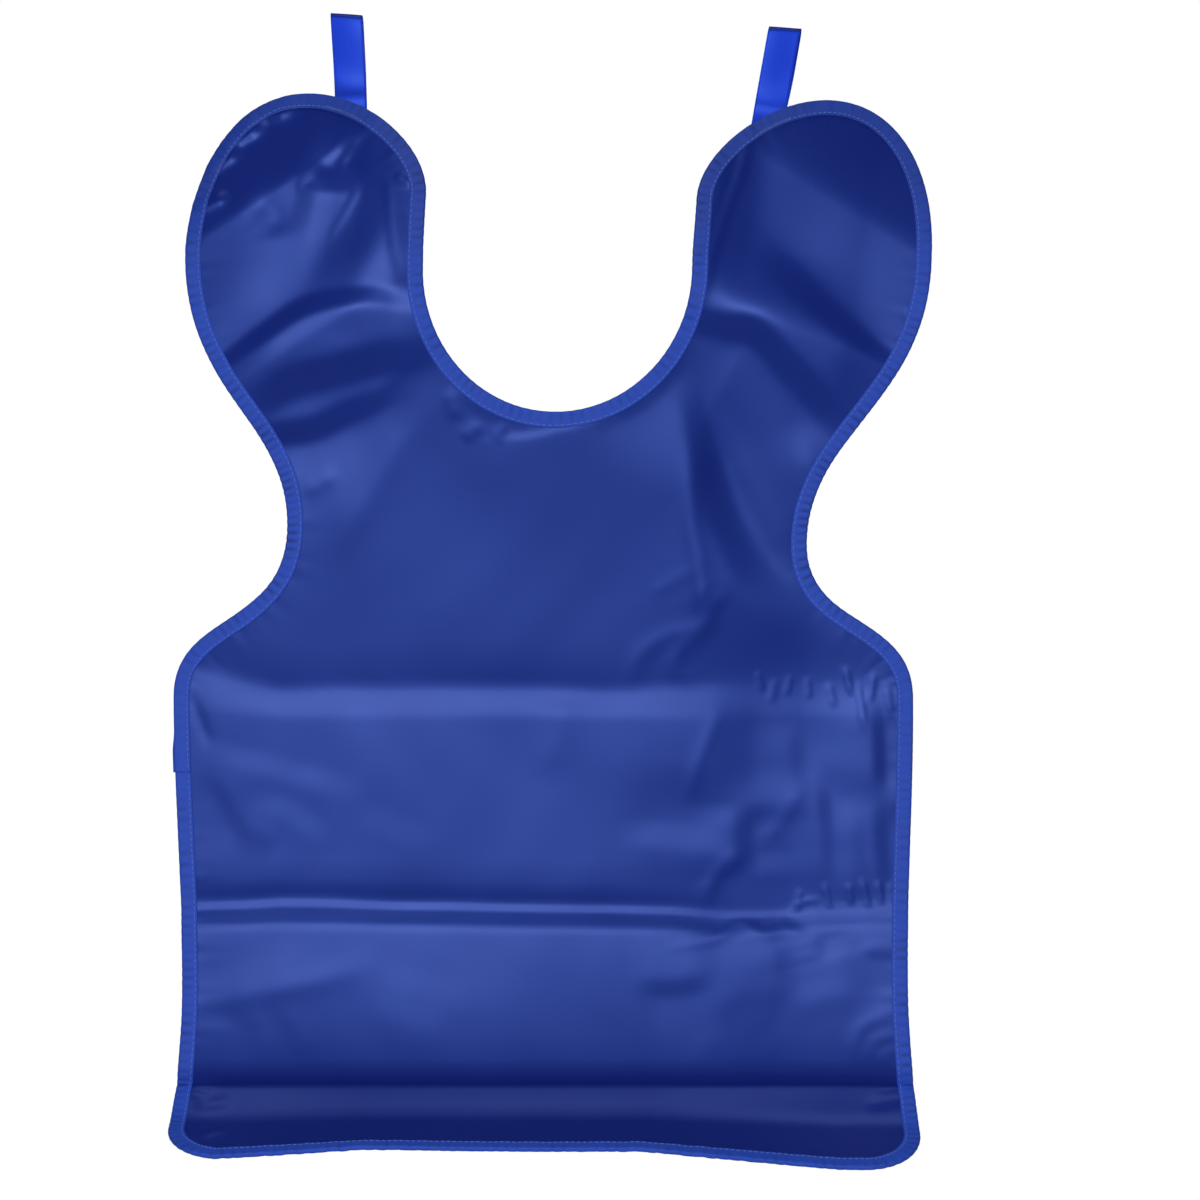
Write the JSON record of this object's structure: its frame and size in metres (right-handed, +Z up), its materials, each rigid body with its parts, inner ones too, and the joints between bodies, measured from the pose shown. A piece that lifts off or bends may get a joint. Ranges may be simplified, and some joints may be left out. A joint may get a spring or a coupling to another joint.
{
  "type": "dental x-ray apron",
  "caption": "Dental x-ray apron of lead-loaded vinyl with shoulder wings, a round neckline, armholes and a curled hem, edged with folded tape and hung by ribbon loops.",
  "frame": {"origin": "middle of the hanging line between the bights of the ribbon loops", "axes": "+Z up, +X to the viewer's right across the apron, and the front of the apron faces -Y"},
  "size_m": [0.475, 0.0936, 0.7134],
  "materials": {
    "vinyl": "satin",
    "tape": "matte",
    "ribbon": "satin"
  },
  "bodies": {
    "root": {"apron_panel": "vinyl", "edge_binding": "tape", "loop_left": "ribbon", "loop_right": "ribbon"}
  },
  "joints": []
}
